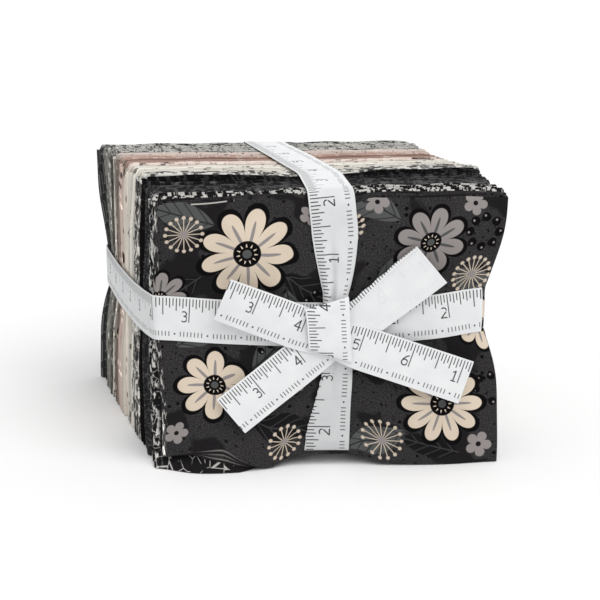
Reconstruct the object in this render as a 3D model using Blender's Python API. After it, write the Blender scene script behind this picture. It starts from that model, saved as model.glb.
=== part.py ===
"""Fat quarter bundle: folded cotton quarters stood on edge and tied both ways with a ribbon."""
import math
import random

import bmesh
import bpy
from mathutils import Vector

# Driving dimensions, in metres. Depth runs back from the front quarter, along +Y.
QUARTERS = 32
DEEP = 0.150
TALL = 0.1385
CROWN = 0.0010         # how much taller the back of the stack is
STEP = DEEP / QUARTERS
GAP = 0.0003
FOLD = 0.002           # how far a side fold bulges past its panels
PUFF = 0.012           # how far the looser right-hand side stands forward
PUFF_ENDS = 0.070      # depth at which it is pressed flat
BULGE = 0.003          # how far the outer quarters swell between the ribbons
RIBBON_WIDE = 0.0222
RIBBON_THICK = 0.001
GRIP = 0.0125          # half height of the cloth drawn in by the level ribbon
DENT = 0.0062          # how far the upright ribbon draws the lower edges up
DRIFT = -0.020         # sideways travel of the upright ribbon from front to back
STRAIGHT = 0.036       # depth over which it runs straight back first
SHIFT = Vector((0.01385, -0.06529, 0.0))   # puts the origin at the bounding box's bottom centre

# Side outline of the stack: depth, then x of the left folds and of the right ends,
# each at the top, under the level ribbon and at the foot.
TOP, HELD, FOOT = 0, 1, 2
OUTLINE = (
    dict(depth=0.000, left=(-0.0848, -0.0848, -0.0860), right=(0.0860, 0.0750, 0.0845)),
    dict(depth=0.016, left=(-0.0858, -0.0882, -0.0895), right=(0.0895, 0.0792, 0.0855)),
    dict(depth=0.042, left=(-0.0884, -0.0930, -0.0955), right=(0.0860, 0.0808, 0.0845)),
    dict(depth=0.064, left=(-0.0940, -0.0965, -0.0998), right=(0.0885, 0.0808, 0.0855)),
    dict(depth=0.080, left=(-0.0980, -0.0993, -0.1035), right=(0.0875, 0.0792, 0.0845)),
    dict(depth=0.095, left=(-0.1010, -0.1020, -0.1068), right=(0.0812, 0.0768, 0.0795)),
    dict(depth=0.124, left=(-0.1080, -0.1070, -0.1123), right=(0.0742, 0.0710, 0.0735)),
    dict(depth=0.150, left=(-0.1158, -0.1118, -0.1172), right=(0.0690, 0.0648, 0.0680)),
)

# Lines across a panel, measured from the upright ribbon: where they are, whether only the
# finer outer quarters have them, how many layers fill a step there, how far the panel swells,
# how far the front quarter's foot fans out, and how far the top drops.
KNOTS = (
    dict(at=-0.066, fine=True, layers=2, swell=1.0, fan=0.0095, drop=0.0004),
    dict(at=-0.046, fine=False, layers=2, swell=0.9, fan=0.0105, drop=0.0),
    dict(at=-0.031, fine=False, layers=3, swell=0.5, fan=0.0045, drop=0.0),
    dict(at=-0.014, fine=False, layers=3, swell=0.0, fan=0.0, drop=0.0005),
    dict(at=0.014, fine=False, layers=3, swell=0.0, fan=0.0, drop=0.0005),
    dict(at=0.027, fine=False, layers=3, swell=0.6, fan=0.0010, drop=0.0),
    dict(at=0.058, fine=True, layers=3, swell=1.0, fan=0.0015, drop=0.0004),
)
LEFT_END = dict(fine=False, layers=2, swell=0.15, fan=0.0045, drop=0.0022)
RIGHT_END = dict(fine=False, layers=3, swell=0.35, fan=0.0005, drop=0.0040)
THIRD_END = dict(at=-0.028, fine=False, layers=3, swell=0.41, fan=0.0037, drop=0.0)

# Heights up a quarter: whether only the outer quarters have it, share of the swell and of the fan.
LEVELS = (
    dict(name="foot", fine=False, swell=0.3, fan=1.0),
    dict(name="low", fine=True, swell=1.0, fan=0.0),
    dict(name="under", fine=False, swell=0.0, fan=0.0),
    dict(name="over", fine=False, swell=0.0, fan=0.0),
    dict(name="high", fine=True, swell=1.0, fan=0.0),
    dict(name="top", fine=False, swell=0.3, fan=0.0),
)

# Cloths from front to back: slot, how many quarters, base colour.
CLOTHS = (
    dict(slot="charcoal_floral", count=1, colour=(0.050, 0.048, 0.050)),
    dict(slot="black_speckle", count=2, colour=(0.070, 0.068, 0.068)),
    dict(slot="black_fleck", count=3, colour=(0.022, 0.021, 0.023)),
    dict(slot="black_dash", count=2, colour=(0.012, 0.012, 0.013)),
    dict(slot="white_dash", count=3, colour=(0.780, 0.770, 0.740)),
    dict(slot="cream_plain", count=4, colour=(0.720, 0.680, 0.600)),
    dict(slot="pink_dash", count=3, colour=(0.700, 0.580, 0.520)),
    dict(slot="rose_tick", count=4, colour=(0.370, 0.250, 0.215)),
    dict(slot="pale_mark", count=2, colour=(0.520, 0.510, 0.480)),
    dict(slot="grey_fleck", count=5, colour=(0.250, 0.248, 0.235)),
    dict(slot="slate_dot", count=3, colour=(0.045, 0.048, 0.046)),
)
RIBBON = dict(slot="ribbon_white", colour=(0.800, 0.800, 0.790))

# Tails: x and z of both cut ends, how far off the front they cross, how far the ends lift
# further, and how far each end is turned on edge, in degrees.
TAILS = (
    dict(name="ribbon_tail_falling", ends=((-0.0525, 0.0884), (0.0658, 0.0446)),
         off=0.0036, lift=(0.0040, 0.0025), turn=(4, -4)),
    dict(name="ribbon_tail_rising", ends=((-0.0501, 0.0304), (0.0475, 0.1051)),
         off=0.0049, lift=(0.0050, 0.0030), turn=(-3, 24)),
)
# Middle of the upright ribbon down the front: height and x.
SWAY = (
    dict(z=0.007, x=-0.0024),
    dict(z=0.021, x=-0.0004),
    dict(z=0.050, x=0.0014),
    dict(z=0.100, x=0.0028),
    dict(z=0.122, x=0.0018),
    dict(z=0.138, x=-0.0008),
)
# Height of the level ribbon's middle across the front.
DIP = (
    dict(x=-0.085, z=0.0768),
    dict(x=-0.050, z=0.0750),
    dict(x=0.000, z=0.0735),
    dict(x=0.049, z=0.0764),
    dict(x=0.078, z=0.0798),
)


def mix(a, b, t):
    return a + (b - a) * t


def look_up(rows, key, at, read):
    """Read a table along its ordered column, in straight lines between the rows."""
    for low, high in zip(rows, rows[1:]):
        if at <= high[key]:
            t = max(0.0, (at - low[key]) / (high[key] - low[key]))
            return mix(read(low), read(high), t)
    return read(rows[-1])


def side_x(side, level, depth):
    return look_up(OUTLINE, "depth", depth, lambda row: row[side][level])


def ribbon_z(x, depth):
    """Height of the level ribbon's middle: it dips at the knot and towards the back."""
    front = look_up(DIP, "x", x, lambda row: row["z"])
    back = mix(0.0695, 0.0725, min(1.0, max(0.0, (x + 0.110) / 0.175)))
    return mix(front, back, min(1.0, max(0.0, depth / DEEP)))


def drift(depth):
    return DRIFT * min(1.0, max(0.0, (depth - STRAIGHT) / (DEEP - STRAIGHT)))


def stand_forward(x, depth):
    across = min(1.0, max(0.0, (x + 0.085) / 0.170))
    loose = max(0.0, 1.0 - depth / PUFF_ENDS) ** 2
    return PUFF * (1.0 - (1.0 - across) ** 2.2) * loose


def layer_span(number, layers, layer):
    """Front and back depth of one of a quarter's layers."""
    first = number * STEP
    front = first + STEP * layer / layers + GAP / 2
    return front, front + STEP / layers - GAP


class Quarter:
    """One folded quarter: three panels in a back-and-forth section, lofted up its height."""

    def __init__(self, number, dice):
        self.number = number
        self.fine = number < 3 or number >= QUARTERS - 2
        self.depth = (number + 0.5) * STEP
        self.middle = drift(self.depth)
        self.tall = TALL + CROWN * self.depth / DEEP
        self.rise = 0.0 if number == 0 else dice.uniform(-0.0009, 0.0006)
        self.slip = [dice.uniform(-0.0007, 0.0007) for _ in range(4)]
        self.knots = [k for k in KNOTS if self.fine or not k["fine"]]
        self.levels = [v for v in LEVELS if self.fine or not v["fine"]]
        self.points = []

    def end_x(self, side, level):
        """x of the quarter's left fold or right end at a level."""
        near, far = self.number * STEP, (self.number + 1) * STEP
        inner = max if side == "left" else min
        held = inner(side_x(side, HELD, near), side_x(side, HELD, far))
        slip = self.slip[0 if side == "left" else 1]
        foot = side_x(side, FOOT, self.depth) + slip
        top = side_x(side, TOP, self.depth) + self.slip[2 if side == "left" else 3]
        if self.number == 0:
            foot = side_x(side, FOOT, 0.0)
            top = side_x(side, TOP, 0.0)
        shares = dict(foot=foot, low=mix(held, foot, 0.95), under=held, over=held,
                      high=mix(held, top, 0.78), top=top)
        return shares[level["name"]]

    def z(self, x, knot, level):
        middle = ribbon_z(x, self.depth)
        gripped = knot.get("at") in (-0.014, 0.014)
        rise = 0.0 if gripped else self.rise
        heights = dict(foot=DENT if gripped else 0.0, low=0.030, under=middle - GRIP,
                       over=middle + GRIP, high=0.115, top=self.tall - knot["drop"] + rise)
        return heights[level["name"]]

    def place(self, row, level):
        """Corner of the section: row is the side it hangs on, offset, depth, layer and knot."""
        side, offset, depth, layer, knot = row
        x = self.middle + offset if side == "middle" else self.end_x(side, level) + offset
        y = depth - stand_forward(x, depth)
        rank = self.number * 3 + layer
        loose = max(0.0, 1.0 - rank / 9.0)
        y -= loose * (BULGE * knot["swell"] * level["swell"] + knot["fan"] * level["fan"])
        rank = (QUARTERS - self.number) * 3 - 1 - layer
        loose = max(0.0, 1.0 - rank / 6.0)
        y += 0.7 * loose * BULGE * knot["swell"] * level["swell"]
        return Vector((x, y, self.z(x, knot, level)))

    def face(self, layer, back, ends):
        """Rows along one face of a layer, from left to right."""
        rows = []
        left, right = ends
        for knot in [left] + [k for k in self.knots if k["at"] > left.get("at", -1.0)] + [right]:
            layers = knot["layers"]
            span = layer_span(self.number, layers, layer)
            if knot is LEFT_END:
                rows.append(("left", FOLD, span[back], layer, knot))
            elif knot is RIGHT_END:
                inset = 0.0 if layer == 0 else -FOLD
                rows.append(("right", inset, span[back], layer, knot))
            else:
                rows.append(("middle", knot["at"], span[back], layer, knot))
        return rows

    def bend(self, side, start, end):
        """Rows round the outside of a side fold."""
        count = 4 if self.fine else 3
        middle = (start[2] + end[2]) / 2
        half = (end[2] - start[2]) / 2
        out = -FOLD if side == "left" else FOLD
        rows = []
        for n in range(1, count):
            angle = math.pi * n / count
            layer = mix(start[3], end[3], n / count)
            offset = start[1] + out * math.sin(angle)
            rows.append((side, offset, middle - half * math.cos(angle), layer, start[4]))
        return rows

    def add(self, rows):
        """Store rows and give back their places in the section."""
        first = len(self.points)
        self.points.extend(rows)
        return list(range(first, len(self.points)))

    def build(self):
        fronts = [self.face(n, 0, (LEFT_END if n < 2 else THIRD_END, RIGHT_END)) for n in range(3)]
        backs = [self.face(n, 1, (LEFT_END if n < 2 else THIRD_END, RIGHT_END)) for n in range(3)]
        front = [self.add(rows) for rows in fronts]
        back = [self.add(rows) for rows in backs]
        left = self.add(self.bend("left", fronts[0][0], backs[1][0]))
        right = self.add(self.bend("right", fronts[1][-1], backs[2][-1]))
        ring = front[0][::-1] + left + back[1] + front[2][::-1] + back[2]
        ring += right[::-1] + front[1][::-1] + back[0]
        caps = []
        for a, b in zip(front, back):
            caps += [(a[n], a[n + 1], b[n + 1], b[n]) for n in range(len(a) - 1)]
        caps.append([front[0][0]] + left + [back[1][0], front[1][0], back[0][0]])
        caps.append([back[1][-1], front[2][-1], back[2][-1]] + right[::-1] + [front[1][-1]])
        return ring, caps

    def mesh(self, name):
        ring, caps = self.build()
        shape = bmesh.new()
        layers = []
        for level in self.levels:
            layers.append([shape.verts.new(self.place(row, level) + SHIFT) for row in self.points])
        for low, high in zip(layers, layers[1:]):
            for a, b in zip(ring, ring[1:] + ring[:1]):
                # every panel is split along the same diagonal, so neighbours stay parallel
                if low[b].co.x > low[a].co.x:
                    shape.faces.new((low[a], low[b], high[b]))
                    shape.faces.new((low[a], high[b], high[a]))
                else:
                    shape.faces.new((low[a], low[b], high[a]))
                    shape.faces.new((low[b], high[b], high[a]))
        for cap in caps:
            shape.faces.new([layers[0][n] for n in cap])
            shape.faces.new([layers[-1][n] for n in cap])
        return finish(shape, name)


def finish(shape, name):
    """Turn a bmesh into an object with its faces outward."""
    bmesh.ops.recalc_face_normals(shape, faces=shape.faces)
    data = bpy.data.meshes.new(name)
    shape.to_mesh(data)
    shape.free()
    return bpy.data.objects.new(name, data)


def ribbon(name, path, across, closed=False):
    """A flat ribbon along a path; across holds its half-width vector at each point."""
    shape = bmesh.new()
    rings = []
    count = len(path)
    for n, (point, half) in enumerate(zip(path, across)):
        before = path[(n - 1) % count] if closed or n else point
        after = path[(n + 1) % count] if closed or n < count - 1 else point
        out = (after - before).normalized().cross(half.normalized()).normalized()
        out *= RIBBON_THICK / 2
        corners = (point - half - out, point + half - out, point + half + out, point - half + out)
        rings.append([shape.verts.new(c + SHIFT) for c in corners])
    pairs = list(zip(rings, rings[1:])) + ([(rings[-1], rings[0])] if closed else [])
    for a, b in pairs:
        for n in range(4):
            shape.faces.new((a[n], a[(n + 1) % 4], b[(n + 1) % 4], b[n]))
    if not closed:
        shape.faces.new(rings[0])
        shape.faces.new(rings[-1])
    return finish(shape, name)


def around(corners, clear):
    """A closed path clear of a polygon, with rounded corners; corners run anticlockwise."""
    path = []
    count = len(corners)
    for n, here in enumerate(corners):
        back = (here - corners[n - 1]).normalized()
        on = (corners[(n + 1) % count] - here).normalized()
        first = math.atan2(-back.x, back.y)
        turn = math.atan2(back.x * on.y - back.y * on.x, back.dot(on))
        steps = 4 if turn > 0.4 else 0
        reach = clear if steps else clear / max(0.5, math.cos(turn / 2))
        for k in range(steps + 1):
            angle = first + (turn * k / steps if steps else turn / 2)
            path.append(here + reach * Vector((math.cos(angle), math.sin(angle))))
    return path


def front_face(x):
    """y of the front quarter's face where the ribbons hold it flat."""
    return GAP / 2 - stand_forward(x, GAP / 2)


def tilt():
    """Direction across the front at the upright ribbon."""
    return Vector((0.028, front_face(0.014) - front_face(-0.014), 0.0)).normalized()


def level_ribbon():
    corners = []
    across = [k["at"] for k in KNOTS]
    left = side_x("left", HELD, 0.0)
    right = side_x("right", HELD, 0.0)
    for x in [left] + across + [right]:
        corners.append(Vector((x, front_face(x))))
    for row in OUTLINE[1:]:
        x = row["right"][HELD]
        corners.append(Vector((x, row["depth"] - stand_forward(x, row["depth"]))))
    for row in OUTLINE[:0:-1]:
        corners.append(Vector((row["left"][HELD], row["depth"])))
    path = []
    for point in around(corners, GAP + RIBBON_THICK / 2 + 0.0001):
        depth = min(DEEP, max(0.0, point.y))
        path.append(Vector((point.x, point.y, ribbon_z(point.x, depth))))
    half = Vector((0.0, 0.0, RIBBON_WIDE / 2))
    return ribbon("ribbon_level", path, [half] * len(path), closed=True)


def upright_ribbon():
    clear = GAP + RIBBON_THICK / 2 + 0.0001
    over = clear + RIBBON_THICK / 2
    face = front_face(0.0)
    top = TALL - 0.0005
    back_top = top + CROWN
    front = ribbon_z(0.0, 0.0)
    back = ribbon_z(DRIFT, DEEP)
    corners = [Vector(pair) for pair in (
        (face, DENT), (STRAIGHT, DENT), (DEEP, DENT), (DEEP, back - 0.022),
        (DEEP + over, back - 0.013), (DEEP + over, back + 0.013), (DEEP, back + 0.022),
        (DEEP, back_top), (STRAIGHT, mix(top + 0.0002, back_top, STRAIGHT / DEEP)),
        (face, top + 0.0002),
        (face, front + 0.022), (face - over, front + 0.013), (face - over, front - 0.013),
        (face, front - 0.022))]
    path = []
    for point in around(corners, clear):
        sway = look_up(SWAY, "z", point.y, lambda row: row["x"])
        x = sway if point.x < face + 0.0005 else drift(point.x)
        path.append(Vector((x, point.x, point.y)))
    halves = []
    for point in path:
        loose = max(0.0, 1.0 - max(0.0, point.y) / PUFF_ENDS) ** 2
        halves.append(mix(Vector((1.0, 0.0, 0.0)), tilt(), loose) * RIBBON_WIDE / 2)
    return ribbon("ribbon_upright", path, halves, closed=True)


def tail(row):
    """A straight length of ribbon through the knot, standing off at both ends."""
    (x0, z0), (x1, z1) = row["ends"]
    path = []
    halves = []
    for n in range(9):
        t = n / 8
        x = mix(x0, x1, t)
        z = mix(z0, z1, t)
        away = max(0.0, abs(x) / 0.055 - 0.25)
        lift = row["lift"][0 if x < 0 else 1] * away ** 1.3
        y = front_face(0.0) + tilt().y / tilt().x * x - row["off"] - 0.0001 - lift
        path.append(Vector((x, y, z)))
    for n, point in enumerate(path):
        along = (path[min(n + 1, 8)] - path[max(n - 1, 0)]).normalized()
        side = Vector((0.0, 1.0, 0.0)).cross(along).normalized()
        side.y = side.x * tilt().y / tilt().x
        turn = row["turn"][0 if point.x < 0 else 1] * max(0.0, abs(point.x) / 0.05 - 0.6) * 2.0
        off = along.cross(side)
        angle = math.radians(turn)
        gathered = 1.0 - 0.3 * max(0.0, 1.0 - abs(point.x) / 0.030)
        wide = RIBBON_WIDE / 2 * gathered
        halves.append((side * math.cos(angle) + off * math.sin(angle)) * wide)
    return ribbon(row["name"], path, halves)


def knot():
    """The short length that wraps the crossing, its upper end turned in."""
    face = front_face(0.0)
    rows = ((0.0063, 0.0540), (0.0063, 0.0640), (0.0063, 0.0760), (0.0062, 0.0866),
            (0.0056, 0.0884), (0.0044, 0.0895), (0.0030, 0.0899))
    path = [Vector((mix(-0.0005, -0.0024, (z - 0.054) / 0.036), face - off, z)) for off, z in rows]
    return ribbon("ribbon_knot", path, [tilt() * 0.0100] * len(path))


def material(slot, colour):
    made = bpy.data.materials.new(slot)
    made.use_nodes = True
    made.diffuse_color = (*colour, 1.0)
    shader = made.node_tree.nodes["Principled BSDF"]
    shader.inputs["Base Color"].default_value = (*colour, 1.0)
    shader.inputs["Roughness"].default_value = 0.9
    return made


def main():
    for thing in list(bpy.data.objects):
        bpy.data.objects.remove(thing)
    bundle = bpy.data.collections.new("fat_quarter_bundle")
    bpy.context.scene.collection.children.link(bundle)
    dice = random.Random(7)
    number = 0
    for cloth in CLOTHS:
        made = material(cloth["slot"], cloth["colour"])
        for _ in range(cloth["count"]):
            piece = Quarter(number, dice).mesh(f"fat_quarter_{number + 1:02d}")
            piece.data.materials.append(made)
            bundle.objects.link(piece)
            number += 1
    white = material(RIBBON["slot"], RIBBON["colour"])
    for piece in [level_ribbon(), upright_ribbon(), knot()] + [tail(row) for row in TAILS]:
        piece.data.materials.append(white)
        bundle.objects.link(piece)


main()
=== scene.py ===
# Fat quarter bundle: printed cottons, folded, stood on edge and tied both ways with a ruler ribbon.
# Sizes are in metres unless a note says mm. Depth runs back from the front cloth along +Y.
import math
import random

import bpy
import numpy as np
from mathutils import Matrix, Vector


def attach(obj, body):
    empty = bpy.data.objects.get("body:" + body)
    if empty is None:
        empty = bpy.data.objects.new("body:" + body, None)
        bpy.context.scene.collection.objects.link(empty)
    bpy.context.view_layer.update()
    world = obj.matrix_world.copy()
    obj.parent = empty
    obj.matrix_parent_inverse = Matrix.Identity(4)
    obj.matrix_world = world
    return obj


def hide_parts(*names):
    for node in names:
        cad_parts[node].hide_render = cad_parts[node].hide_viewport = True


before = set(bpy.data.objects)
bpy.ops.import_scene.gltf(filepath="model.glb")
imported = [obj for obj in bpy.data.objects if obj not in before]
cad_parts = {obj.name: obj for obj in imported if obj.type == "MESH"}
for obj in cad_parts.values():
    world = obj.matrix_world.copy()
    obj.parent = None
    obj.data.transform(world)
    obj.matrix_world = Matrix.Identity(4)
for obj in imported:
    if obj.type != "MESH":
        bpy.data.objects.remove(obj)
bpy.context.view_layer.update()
print("frame loaded:", len(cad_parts), "nodes")

stack = {
    "cloths": 32,
    "deep": 0.150,
    "tall": 0.1385,
    "panel": 0.170,         # width of a panel
    "halfWide": 0.085,
    "crown": 0.0010,        # how much taller the back is
    "sideRound": 0.0020,    # how far a side fold bulges past its panels
    "bow": -0.0030,         # how far the left side leans out half way back
    "puff": 0.012,          # how far the loose right side stands forward
    "puffEnds": 0.070,      # depth at which it is pressed flat
    "bulge": 0.0030,        # swell of the outer cloths between the ribbons
    "grip": 0.0125,         # half height of the cloth that the level ribbon draws in
    "pressed": 0.85,        # share of that height that it holds straight
    "dent": 0.0062,         # how far the upright ribbon draws the lower edges up
    "drift": -0.020,        # sideways travel of the upright ribbon from front to back
    "straight": 0.036,      # depth over which it runs straight back first
    "sag": 0.0016,          # dip of the level ribbon along the left side
    "thirdPanelEnds": -0.028,
    "thirdFrom": 0.046,     # where the third panel starts to add its layer, and over what width
    "thirdOver": 0.015,
    "shortPly": 0.152,      # share of its height by which the last ply stops short
    "clothThick": 0.0002,
    "clearance": 0.0004,    # lowest fold above the table
    "frontGap": 0.00015,    # depth of the front cloth's face
    "cut": (0.457, 0.533),
    "frontFoot": (0.01385, -0.06529, 0.0),
}
pitch = stack["deep"] / stack["cloths"]

# side outline of the stack: x of the left folds and right ends, at three heights, by depth
outline = {
    "depth": (0.000, 0.016, 0.042, 0.064, 0.080, 0.095, 0.124, 0.150),
    "leftTop": (-0.0848, -0.0858, -0.0884, -0.0940, -0.0980, -0.1010, -0.1080, -0.1158),
    "leftHeld": (-0.0848, -0.0882, -0.0930, -0.0965, -0.0993, -0.1020, -0.1070, -0.1118),
    "leftFoot": (-0.0860, -0.0895, -0.0955, -0.0998, -0.1035, -0.1068, -0.1123, -0.1172),
    "rightTop": (0.0858, 0.0815, 0.0812, 0.0750, 0.0728, 0.0696, 0.0672, 0.0640),
    "rightHeld": (0.0750, 0.0792, 0.0808, 0.0808, 0.0792, 0.0768, 0.0710, 0.0648),
    "rightFoot": (0.0845, 0.0855, 0.0845, 0.0855, 0.0845, 0.0795, 0.0735, 0.0680),
}
# across a cloth, measured from the upright ribbon; the two ends are added from the outline
overWidth = {
    "at": (-0.066, -0.046, -0.031, -0.014, 0.014, 0.027, 0.058),
    "swell": (0.15, 1.0, 0.9, 0.5, 0.0, 0.0, 0.6, 1.0, 0.35),
    "fan": (0.0045, 0.0095, 0.0105, 0.0045, 0.0, 0.0, 0.0010, 0.0015, 0.0005),
    "tops": (1.0, 1.0, 0.90, 0.75, 0.15, 0.42, 0.9, 1.0, 1.0),
    "frontTops": (1.0, 0.80, 0.42, 0.24, 0.08, 0.50, 0.9, 1.0, 1.15),
    "thrust": (0.0056, 0.0066, 0.0042, 0.0008, 0.0, 0.0, 0.0, 0.0, 0.0),
    "foot": (0.0, 0.0, 0.0, 0.10, 0.95, 0.95, 0.25, 0.0, 0.0),
}
# height of the cloths left and right of the upright ribbon, by depth
tops = {
    "depth": (0.0, 0.0047, 0.014, 0.028, 0.036, 0.0515, 0.070, 0.084, 0.103, 0.124, 0.150),
    "left": (0.1335, 0.1347, 0.1362, 0.1373, 0.1406, 0.1402, 0.1394, 0.1395, 0.1400, 0.1400, 0.1397),
    "right": (0.1358, 0.1382, 0.1393, 0.1399, 0.1420, 0.1414, 0.1400, 0.1395, 0.1398, 0.1397, 0.1393),
}
# radius of the cloths' upper corners, by depth
corners = {
    "depth": (0.0, 0.030, 0.045, 0.060, 0.100, 0.120, 0.150),
    "left": (0.0008, 0.0010, 0.0022, 0.0028, 0.0024, 0.0018, 0.0026),
    "right": (0.0010, 0.0010, 0.0008, 0.0010, 0.0010, 0.0008, 0.0008),
}
# how light each cloth is drawn, front to back, where its left fold shows and along its top: partly each
# cloth's own tone, partly painted shade that sets its side fold apart from its top
toneAndPaintedShade = {
    "side": (1.0, 1.0, 1.0, 1.1, 0.8, 1.2, 0.8, 1.0, 1.15, 1.0, 0.8, 0.75, 1.05, 0.68, 0.85, 1.3,
             1.1, 0.9, 2.3, 2.1, 1.0, 0.65, 0.7, 1.7, 0.6, 0.55, 1.6, 1.3, 1.4, 1.0, 0.8, 1.5),
    "top": (1.0, 1.0, 0.9, 1.3, 1.0, 0.9, 1.1, 0.7, 0.95, 1.05, 0.9, 0.95, 0.88, 1.2, 1.0, 0.75,
            1.1, 1.05, 0.80, 0.50, 0.95, 1.05, 0.90, 1.1, 0.6, 1.10, 1.0, 0.75, 1.05, 0.85, 1.10, 1.0),
}
# lower left corner of the front cloth: how far its first and last plies have ridden up, and the painted shade
# of the edges and plies that show there: a dark painted shadow at their feet and folds, plies lighter and
# darker in turn
lifted = {
    "x": (-0.0870, -0.0790, -0.0670, -0.0600, -0.0540, -0.0450, -0.0350, -0.0280),
    "first": (0.0042, 0.0064, 0.0096, 0.0108, 0.0116, 0.0068, 0.0014, 0.0),
    "last": (0.0036, 0.0050, 0.0060, 0.0032, 0.0014, 0.0005, 0.0001, 0.0),
    "light": (0.12, 1.5, 3.0, 1.3, 2.5, 2.8),
}
# soft ridges and troughs on the front, from one end to the other, with half width and height
creases = {
    "x0": (-0.016, -0.018, 0.014, 0.016, 0.074, 0.076, -0.084, -0.020, 0.030),
    "z0": (0.098, 0.052, 0.100, 0.050, 0.062, 0.092, 0.060, 0.020, 0.012),
    "x1": (-0.052, -0.060, 0.046, 0.062, 0.048, 0.060, -0.060, -0.050, 0.066),
    "z1": (0.126, 0.022, 0.128, 0.016, 0.030, 0.118, 0.024, 0.004, 0.004),
    "wide": (0.0045, 0.0050, 0.0050, 0.0060, 0.0045, 0.0040, 0.0045, 0.0050, 0.0050),
    "high": (0.0006, 0.0008, 0.0007, 0.0009, 0.0010, 0.0007, 0.0007, 0.0008, -0.0007),
}
# cloths from front to back
cloths = {
    "slot": ("charcoal_floral", "black_speckle", "black_fleck", "black_dash", "white_dash",
             "cream_plain", "pink_dash", "rose_tick", "pale_mark", "grey_fleck", "slate_dot"),
    "count": (1, 2, 3, 2, 3, 4, 3, 4, 2, 5, 3),
}


def through(at, xs, ys):
    # smooth curve through a table's points that never overshoots them
    xs, ys = np.asarray(xs, float), np.asarray(ys, float)
    step = np.diff(xs)
    rise = np.diff(ys) / step
    slope = np.zeros(len(xs))
    same = rise[:-1] * rise[1:] > 0
    total = np.where(same, rise[:-1] + rise[1:], 1.0)
    slope[1:-1] = np.where(same, 2 * rise[:-1] * rise[1:] / total, 0.0)
    at = np.clip(at, xs[0], xs[-1])
    k = np.clip(np.searchsorted(xs, at, side="right") - 1, 0, len(xs) - 2)
    t = (at - xs[k]) / step[k]
    ends = (1 + 2 * t) * (1 - t) ** 2 * ys[k] + t * t * (3 - 2 * t) * ys[k + 1]
    bends = t * (1 - t) ** 2 * slope[k] - t * t * (1 - t) * slope[k + 1]
    return ends + bends * step[k]


def mix(a, b, t):
    return a + (b - a) * t


def ease(t):
    t = np.clip(t, 0.0, 1.0)
    return t * t * (3 - 2 * t)

# level ribbon across the front: height of its middle, and where one inch mark falls
levelDip = {
    "x": (-0.085, -0.050, 0.000, 0.049, 0.078),
    "z": (0.0768, 0.0750, 0.0735, 0.0764, 0.0798),
    "inch": (0.058, 2),
    "back": (0.0695, 0.0725),     # its height along the back, at the left and the right
    "backFrom": -0.110,
    "backOver": 0.175,
}
# upright ribbon down the front, by height: its middle line, its width where the knot gathers it,
# the share of its ticked edge that rolls under, and how high its ridges stand
upright = {
    "z": (0.007, 0.020, 0.030, 0.042, 0.050, 0.0735, 0.088, 0.0935, 0.1005, 0.111, 0.1205, 0.138),
    "x": (-0.0016, -0.0012, -0.0010, -0.0004, 0.0002, 0.0012, 0.0024, 0.0027, 0.0028, 0.0024, 0.0020, 0.0002),
    "wide": (1.0, 1.0, 1.0, 1.0, 0.97, 0.66, 0.54, 0.64, 0.77, 0.92, 1.0, 1.0),
    "turned": (0.0, 0.05, 0.16, 0.27, 0.31, 0.20, 0.0, 0.0, 0.0, 0.0, 0.0, 0.0),
    "ridge": (0.0, 0.0, 0.0001, 0.0006, 0.0011, 0.0018, 0.0022, 0.0020, 0.0016, 0.0009, 0.0002, 0.0),
    "inchBelow": (0.0212, 2),     # height of one inch mark, and which
    "inchAbove": (0.1087, 1),
    "slack": 0.09,                # share by which its ruler is printed longer
    "shade": (0.75, 0.90),        # painted shade: darker at its foot, lighter up the front
    # painted light, lighter where it runs over the top
    "topPaintedLight": 1.16,
    "valley": (0.2, -0.1),        # between its ridges, above and below the knot
}

def byDepth(table, key, depth):
    return np.interp(depth, table["depth"], table[key])


def levelHeight(x, depth):
    # height of the level ribbon's middle
    front = through(x, levelDip["x"], levelDip["z"])
    back = mix(*levelDip["back"], np.clip((x - levelDip["backFrom"]) / levelDip["backOver"], 0, 1))
    share = np.clip(depth / stack["deep"], 0, 1)
    left = np.clip((-0.070 - x) / 0.020, 0, 1)
    return mix(front, back, share) - 4 * stack["sag"] * share * (1 - share) * left


def ribbonMiddle(depth):
    # x of the upright ribbon's middle
    return stack["drift"] * np.clip((depth - stack["straight"]) / (stack["deep"] - stack["straight"]), 0, 1)


def standForward(x, depth):
    share = np.clip((x + stack["halfWide"]) / (2 * stack["halfWide"]), 0, 1)
    loose = np.clip(1 - depth / stack["puffEnds"], 0, 1) ** 2
    return stack["puff"] * (1 - (1 - share) ** 2.2) * loose


def sideBow(depth):
    share = np.clip(depth / stack["deep"], 0, 1)
    return stack["bow"] * share * (1 - share) * 4


def sideEdge(side, number, z, middle, tall, slips):
    # x of a cloth's side: drawn in by the level ribbon, spreading above and below it
    near, far = number * pitch, (number + 1) * pitch
    centre = 0.0 if number == 0 else (near + far) / 2
    inner = max if side == "left" else min
    held = inner(byDepth(outline, side + "Held", near), byDepth(outline, side + "Held", far))
    foot, top = (byDepth(outline, side + end, centre) + slip for end, slip in zip(("Foot", "Top"), slips))
    grip, pressed = stack["grip"], stack["grip"] * stack["pressed"]
    up = np.clip((z - middle - pressed) / (tall - middle - grip), 0, 1)
    down = np.clip((middle - pressed - z) / (middle - grip), 0, 1)
    rising = 1 - (1 - up) ** 1.9
    if side == "left":    # half way back the folds stand straight and only round in near the top
        bow = sideBow(centre)
        held, top = held + 0.5 * bow, top + 0.35 * bow
        rising = mix(rising, up ** 1.8, bow / stack["bow"])
    return held + (top - held) * rising + (foot - held) * (1 - (1 - down) ** 3.2)

def ridges(x, z):
    total = np.zeros(np.broadcast(x, z).shape)
    for x0, z0, x1, z1, wide, high in zip(*creases.values()):
        dx, dz = x1 - x0, z1 - z0
        t = np.clip(((x - x0) * dx + (z - z0) * dz) / (dx * dx + dz * dz), 0, 1)
        off = np.hypot(x - x0 - t * dx, z - z0 - t * dz)
        total += high * np.exp(-(off / wide) ** 2) * np.sin(math.pi * (0.12 + 0.88 * t)) ** 0.7
    return total

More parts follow.
